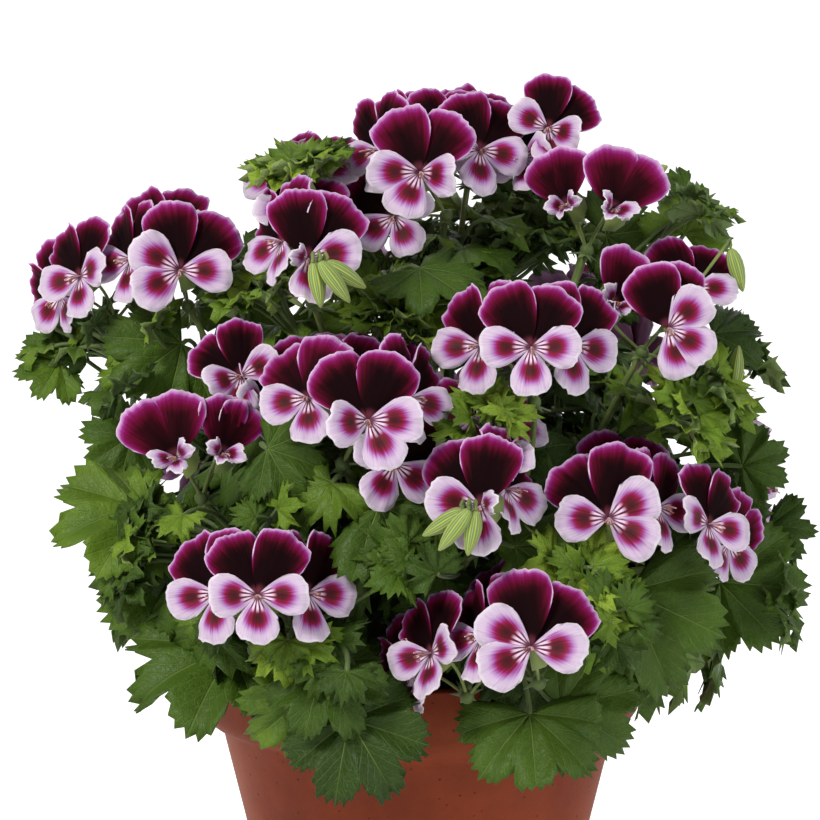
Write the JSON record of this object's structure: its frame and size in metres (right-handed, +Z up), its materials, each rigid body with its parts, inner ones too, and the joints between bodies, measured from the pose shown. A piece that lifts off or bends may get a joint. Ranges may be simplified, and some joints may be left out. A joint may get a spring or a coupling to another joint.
{
  "type": "potted angel pelargonium",
  "caption": "Tapered clay pot with a collar, filled with soil that holds a bushy flowering plant: lobed, toothed leaves and heads of dark blooms with pale lower petals.",
  "frame": {"origin": "the middle of the pot's flat base, on the surface that the pot stands on", "axes": "+Z up along the pot's axis; -Y towards the side that the picture shows; +X to the right in the picture"},
  "size_m": [0.2755, 0.2556, 0.3328],
  "materials": {
    "terracotta": "unglazed, matt, finely pitted",
    "soil": "loose, rough, damp",
    "foliage": "soft green leaf with pale veins, slight sheen",
    "petals": "velvety petal, near-black red in the middle and pale lilac at the edge"
  },
  "bodies": {
    "root": {"pot": "terracotta", "soil": "soil", "shoot_far_left": "foliage", "shoot_inner_left": "foliage", "shoot_crest": "foliage", "shoot_crest_back": "foliage", "shoot_right_top": "foliage", "shoot_middle": "foliage", "shoot_right": "foliage", "shoot_low_right": "foliage", "shoot_low_front": "foliage", "shoot_front": "foliage", "shoot_front_left": "foliage", "shoot_low_left": "foliage", "shoot_low_front_left": "foliage", "shoot_side_left": "foliage", "shoot_back": "foliage", "shoot_side_right": "foliage", "head_far_left": "petals", "head_far_left_low": "petals", "head_left": "petals", "head_left_low": "petals", "head_inner_left": "petals", "head_inner_left_low": "petals", "head_crest": "petals", "head_crest_low": "petals", "head_crest_back": "petals", "head_crest_back_low": "petals", "head_crest_left": "petals", "head_crest_left_low": "petals", "head_right_top": "petals", "head_right_top_low": "petals", "head_middle": "petals", "head_middle_low": "petals", "head_far_left_front": "petals", "head_left_front": "petals", "head_right": "petals", "head_side_left": "petals", "head_back_left": "petals", "head_back": "petals", "head_back_right": "petals", "head_side_right": "petals"}
  },
  "joints": []
}
